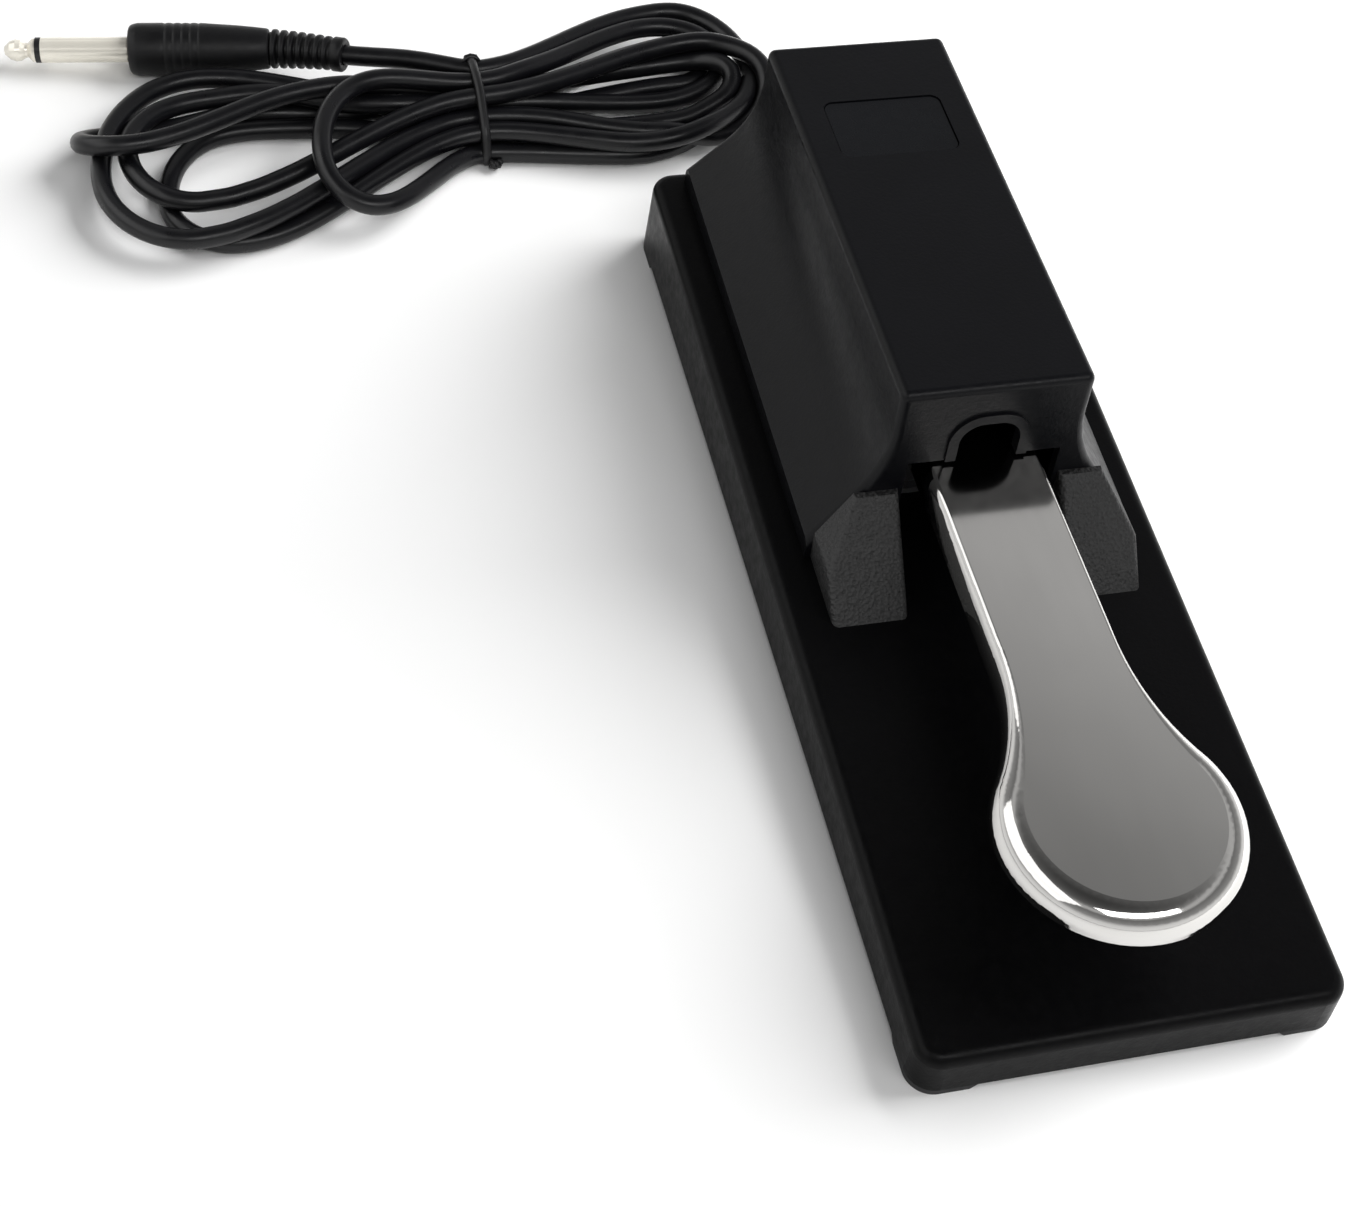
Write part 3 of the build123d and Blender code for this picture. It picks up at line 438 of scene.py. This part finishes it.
def tube(verts, faces, points, radius, around=10):
    """Adds a round wire along points, its ends drawn in."""
    start, rings = len(verts), len(points)
    points = np.array(points, float)
    for k in range(rings):
        way = points[min(k + 1, rings - 1)] - points[max(k - 1, 0)]
        u, v = side_axes(way + np.array((0, 1e-4, 0)))
        size = radius * (0.35 if k in (0, rings - 1) else 1)
        for n in range(around):
            angle = 2 * math.pi * n / around
            verts.append((points[k] + (u * math.cos(angle) + v * math.sin(angle)) * size) * MM)
    faces.extend(tuple(start + q for q in f) for f in rings_to_faces(rings, around))
    faces.append(tuple(range(start, start + around))[::-1])
    faces.append(tuple(range(start + (rings - 1) * around, start + rings * around)))


def lathe(name, path, profile, slot, around=64):
    """A turned piece on a path: path(distance) gives (place, direction); profile is (radius, distance)."""
    verts = []
    for radius, distance in profile:
        place, along = path(distance)
        u, v = side_axes(along)
        for k in range(around):
            angle = 2 * math.pi * k / around
            verts.append((place + (u * math.cos(angle) + v * math.sin(angle)) * radius) * MM)
    faces = rings_to_faces(len(profile), around, closed=True)
    return mesh_piece(name, verts, faces, slot)


def soften(profile, cut=0.22):
    """The closed profile with each corner cut, so that it shades as a rounded edge."""
    out = []
    n = len(profile)
    for k in range(n):
        before, here, after = (np.array(profile[(k + s) % n], float) for s in (-1, 0, 1))
        for other in (before, after):
            way = other - here
            length = np.linalg.norm(way)
            out.append(here + way / length * min(cut, length * 0.35))
    return [tuple(p) for p in out]


# ---------------------------------------------------------------- plug's grip and boot

PLUG_TIP = np.array((-192.9, 200.9, 4.9))
PLUG_BACK = np.array((-127.0, 190.2, 8.4))
BOOT_END = np.array((-108.8, 182.9, 10.6))
GRIP_START, GRIP_R = 31.5, 6.6
grip_way = (PLUG_BACK - PLUG_TIP) / np.linalg.norm(PLUG_BACK - PLUG_TIP)
grip_length = float(np.linalg.norm(PLUG_BACK - PLUG_TIP))


def grip_path(distance):
    return PLUG_TIP + grip_way * distance, grip_way


def boot_path(distance):
    """Bends from the grip's direction to the cord's."""
    total = float(np.linalg.norm(BOOT_END - PLUG_BACK))
    t = distance / total
    bend = PLUG_BACK + grip_way * total * 0.5
    bend = bend * 0.5 + (PLUG_BACK + BOOT_END) * 0.25
    place = (1 - t) ** 2 * PLUG_BACK + 2 * t * (1 - t) * bend + t * t * BOOT_END
    along = 2 * (1 - t) * (bend - PLUG_BACK) + 2 * t * (BOOT_END - bend)
    return place, along / np.linalg.norm(along)


def grip_profile():
    """Flat front with a rounded rim, five shallow finger rings, and a long taper to the boot."""
    s = GRIP_START
    rings = []
    for k in range(5):
        at, r = s + 8.6 + 2.1 * k, GRIP_R - 0.02 * k
        rings += [(r, at), (r - 0.16, at + 0.35), (r - 0.16, at + 0.75), (r, at + 1.1)]
    taper = [(6.3, s + 21.0), (5.9, s + 27.0), (5.4, s + 32.0), (5.05, grip_length - 0.4)]
    taper += [(4.6, grip_length), (3.4, grip_length)]
    front = [(3.2, s + 2.0), (3.2, s), (5.3, s), (5.95, s + 0.3), (6.3, s + 1.0), (GRIP_R, s + 2.2)]
    return soften(front + rings + taper)


def boot_profile():
    """Seven ribs with grooves between them, and a plain collar round the cord."""
    total = float(np.linalg.norm(BOOT_END - PLUG_BACK))
    points = [(2.4, 0.1), (4.3, 0.1)]
    ribs, collar = 7, 3.0
    pitch = (total - collar - 0.6) / ribs
    for k in range(ribs):
        at, radius = 0.6 + pitch * k, 4.95 - 0.11 * k
        points += [(3.7, at), (radius - 0.1, at + 0.12), (radius, at + 0.5), (radius, at + pitch * 0.5)]
        points += [(radius - 0.2, at + pitch * 0.62), (3.7, at + pitch * 0.7)]
    points += [(3.7, total - collar), (4.35, total - collar + 0.15), (4.35, total - 0.5)]
    points += [(3.9, total), (2.4, total)]
    return soften(points, 0.12)


grip = lathe("plug_grip_body", grip_path, grip_profile(), "plug_grip")
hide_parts("plug_barrel")
boot = lathe("plug_boot_ribbed", boot_path, boot_profile(), "plug_grip")
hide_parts("plug_boot")


# ---------------------------------------------------------------- tie


TIE_HALF = 0.35  # half of the band's thickness
FLOOR_GAP = 0.1  # the least height of the tie's own vertices
TIE_SECTION = [  # (across, out) of the band with its wire in the middle
    (-1.2, 0.1), (-0.9, 0.5), (-0.5, 0.86), (0, 0.98), (0.5, 0.86), (0.9, 0.5), (1.2, 0.1),
    (0.7, -0.14), (0, -0.2), (-0.7, -0.14),
]
TWIST_TURNS, TWIST_LENGTH, TWIST_POINTS, TWIST_R = 1.5, 3.0, 26, 0.6
BUCKLE = [(-2.2, -0.9, 0.5), (-1.2, 0.1, 0.9), (0, 0.5, 1.0), (1.2, 0.1, 0.9), (2.2, -0.9, 0.5)]
BUCKLE_R = 0.8


def hull(points):
    """The convex outline of points in a plane, anticlockwise."""
    points = sorted(map(tuple, points))

    def half(sequence):
        out = []
        for p in sequence:
            while len(out) > 1:
                (ax, ay), (bx, by) = out[-2], out[-1]
                if (bx - ax) * (p[1] - ay) - (by - ay) * (p[0] - ax) > 0:
                    break
                out.pop()
            out.append(p)
        return out[:-1]

    return half(points) + half(points[::-1])


def tie_loop():
    """The tie's line round the strands: their outline at the tie, half the tie's thickness out."""
    near = cord_line[np.abs(cord_line[:, 0] / MM - TIE_X) < STEP * 0.75][:, 1:] / MM
    reach = CORD_D / 2 + TIE_HALF
    angles = np.linspace(0, 2 * math.pi, 24, endpoint=False)
    lowest = TIE_HALF + FLOOR_GAP
    rims = [
        (y + reach * math.cos(a), max(lowest, z + reach * math.sin(a))) for y, z in near for a in angles
    ]
    outline = np.array(hull(rims))
    closed = np.vstack([outline, outline[:1]])
    flat = evenly(np.column_stack([np.zeros(len(closed)), closed]), 1.1)[:-1, 1:]
    for _ in range(3):
        flat = (np.roll(flat, 1, 0) + 2 * flat + np.roll(flat, -1, 0)) / 4
    return flat


def wire_tie():
    """A flat-winged wire tie round the strands, its ends twisted together low at the front."""
    loop = tie_loop()
    verts = []
    for k in range(len(loop)):
        way = loop[(k + 1) % len(loop)] - loop[k - 1]
        way /= np.linalg.norm(way)
        outward = np.array([way[1], -way[0]])
        for across, out in TIE_SECTION:
            y, z = loop[k] + outward * out
            verts.append(np.array((TIE_X + across, y, max(z, FLOOR_GAP))) * MM)
    faces = rings_to_faces(len(loop), len(TIE_SECTION), closed=True)

    front = loop[np.argmin(loop[:, 0])]
    for phase in (0, math.pi):
        twist = []
        for k in range(TWIST_POINTS):
            t = k / (TWIST_POINTS - 1)
            angle = phase + t * TWIST_TURNS * 2 * math.pi
            x = TIE_X + TWIST_R + t * TWIST_LENGTH
            y = front[0] - 0.9 - 0.9 * math.sin(t * 1.1 * math.pi)
            z = max(1.25, front[1] - TWIST_R)
            twist.append((x, y + TWIST_R * math.cos(angle), z + TWIST_R * math.sin(angle)))
        tube(verts, faces, twist, TWIST_R)
    rear = loop[np.argmax(loop[:, 0] + loop[:, 1])]
    tube(verts, faces, [(TIE_X + x, rear[0] + y, rear[1] + z) for x, y, z in BUCKLE], BUCKLE_R)
    return mesh_piece("wire_tie", verts, faces, "tie_plastic")


tie = wire_tie()
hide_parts("cord_tie")

# ---------------------------------------------------------------- return spring

SPRING_WIRE_R, SPRING_TURNS, SPRING_STEPS = 0.65, 7, 36


def return_coil():
    """The return spring with closed end turns, filling the CAD spring's box; it is drawn at one length and
    not shortened with the pedal.
    """
    low, high = (np.array(corner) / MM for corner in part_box("return_spring"))
    centre, radius = (low + high) / 2, (high[0] - low[0]) / 2 - SPRING_WIRE_R
    turn = np.linspace(0, SPRING_TURNS, SPRING_TURNS * SPRING_STEPS + 1)
    bottom, top = low[2] + SPRING_WIRE_R, high[2] - SPRING_WIRE_R
    heights = [bottom, bottom + 2.1 * SPRING_WIRE_R, top - 2.1 * SPRING_WIRE_R, top]
    rise = np.interp(turn, [0, 1, SPRING_TURNS - 1, SPRING_TURNS], heights)
    angle = turn * 2 * math.pi
    line = np.stack([centre[0] + radius * np.cos(angle), centre[1] + radius * np.sin(angle), rise], 1)
    verts, faces = [], []
    tube(verts, faces, line, SPRING_WIRE_R)
    coil = mesh_piece("return_coil", verts, faces, "spring_steel")
    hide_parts("return_spring")
    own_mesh(coil)


return_coil()

# ---------------------------------------------------------------- floor, light and camera (metres)

FLOOR_HALF = 3.0
# the surroundings' grey at each height of a direction: bright at the horizon, darker overhead
SKY = [
    (0.0, 1.0), (0.17, 0.85), (0.32, 0.34), (0.6, 0.2), (0.69, 0.55), (0.75, 0.52), (0.80, 0.27),
    (0.87, 0.14), (1.0, 0.06),
]
AZIMUTH, ELEVATION, ROLL = -19.94, 51.16, 8.88  # the camera's, in degrees
CAMERA_PLACE = (-0.1747, -0.3065, 0.4104)
SENSOR, LENS = 36.0, 64.12  # mm


def look_at(obj, target):
    way = Vector(target) - obj.location
    obj.rotation_euler = way.to_track_quat("-Z", "Y").to_euler()


def area_light(name, place, target, size, power, seen=True, lights=True):
    """A rectangular softbox, seen or not in gloss, and lighting matt surfaces or not."""
    data = bpy.data.lights.new(name, "AREA")
    data.shape = "RECTANGLE"
    data.size, data.size_y = size
    data.energy = power
    obj = bpy.data.objects.new(name, data)
    bpy.context.scene.collection.objects.link(obj)
    obj.location = place
    obj.visible_glossy, obj.visible_diffuse = seen, lights
    look_at(obj, target)


def floor():
    half = FLOOR_HALF
    mesh = bpy.data.meshes.new("floor")
    corners = [(-half, -half, 0), (half, -half, 0), (half, half, 0), (-half, half, 0)]
    mesh.from_pydata(corners, [], [(0, 1, 2, 3)])
    obj = bpy.data.objects.new("floor", mesh)
    bpy.context.scene.collection.objects.link(obj)
    mat, shader = new_material("floor_white", (0.9, 0.9, 0.9), 0.9, specular=0.1)
    tint(mat, shader, noise(mat, 6, 2), (0.895, 0.895, 0.89), (0.905, 0.905, 0.905))
    mesh.materials.append(mat)


def world():
    """Soft studio surroundings."""
    studio = bpy.data.worlds.new("studio")
    bpy.context.scene.world = studio
    studio.use_nodes = True
    nodes, links = studio.node_tree.nodes, studio.node_tree.links
    background = nodes["Background"]
    coords = nodes.new("ShaderNodeTexCoord")
    parts = nodes.new("ShaderNodeSeparateXYZ")
    ramp = nodes.new("ShaderNodeValToRGB")
    elements = ramp.color_ramp.elements
    for element, (place, level) in zip(elements, (SKY[0], SKY[-1])):
        element.position, element.color = place, (level, level, level, 1)
    for place, level in SKY[1:-1]:
        elements.new(place).color = (level, level, level, 1)
    links.new(coords.outputs["Generated"], parts.inputs["Vector"])
    links.new(parts.outputs["Z"], ramp.inputs["Fac"])
    links.new(ramp.outputs["Color"], background.inputs["Color"])
    background.inputs["Strength"].default_value = 1.0


def camera():
    """The photograph's view: its place, direction and lens."""
    azimuth, elevation, roll = (math.radians(angle) for angle in (AZIMUTH, ELEVATION, ROLL))
    back = Vector((
        math.sin(azimuth) * math.cos(elevation),
        -math.cos(azimuth) * math.cos(elevation),
        math.sin(elevation),
    ))
    right = (-back).cross(Vector((0, 0, 1))).normalized()
    up = back.cross(right)
    turned_right = right * math.cos(roll) + up * math.sin(roll)
    turned_up = -right * math.sin(roll) + up * math.cos(roll)
    data = bpy.data.cameras.new("camera")
    data.sensor_width = SENSOR
    data.sensor_fit = "HORIZONTAL"
    data.lens = LENS
    data.clip_start, data.clip_end = 0.02, 20.0
    obj = bpy.data.objects.new("camera", data)
    bpy.context.scene.collection.objects.link(obj)
    axes = Matrix((turned_right, turned_up, back)).transposed()
    obj.matrix_world = Matrix.Translation(CAMERA_PLACE) @ axes.to_4x4()
    bpy.context.scene.camera = obj


floor()
world()
camera()
area_light("key", (1.15, 0.30, 0.86), (0, 0, 0), (1.25, 1.25), 41, seen=False)
area_light("left_card", (-1.05, 0.1, 0.85), (0, 0, 0), (2.3, 0.95), 9.5, lights=False)
area_light("front_top", (0.18, -0.85, 1.15), (0, 0, 0), (1.15, 0.42), 6.4)

bpy.context.scene.view_settings.view_transform = "Standard"
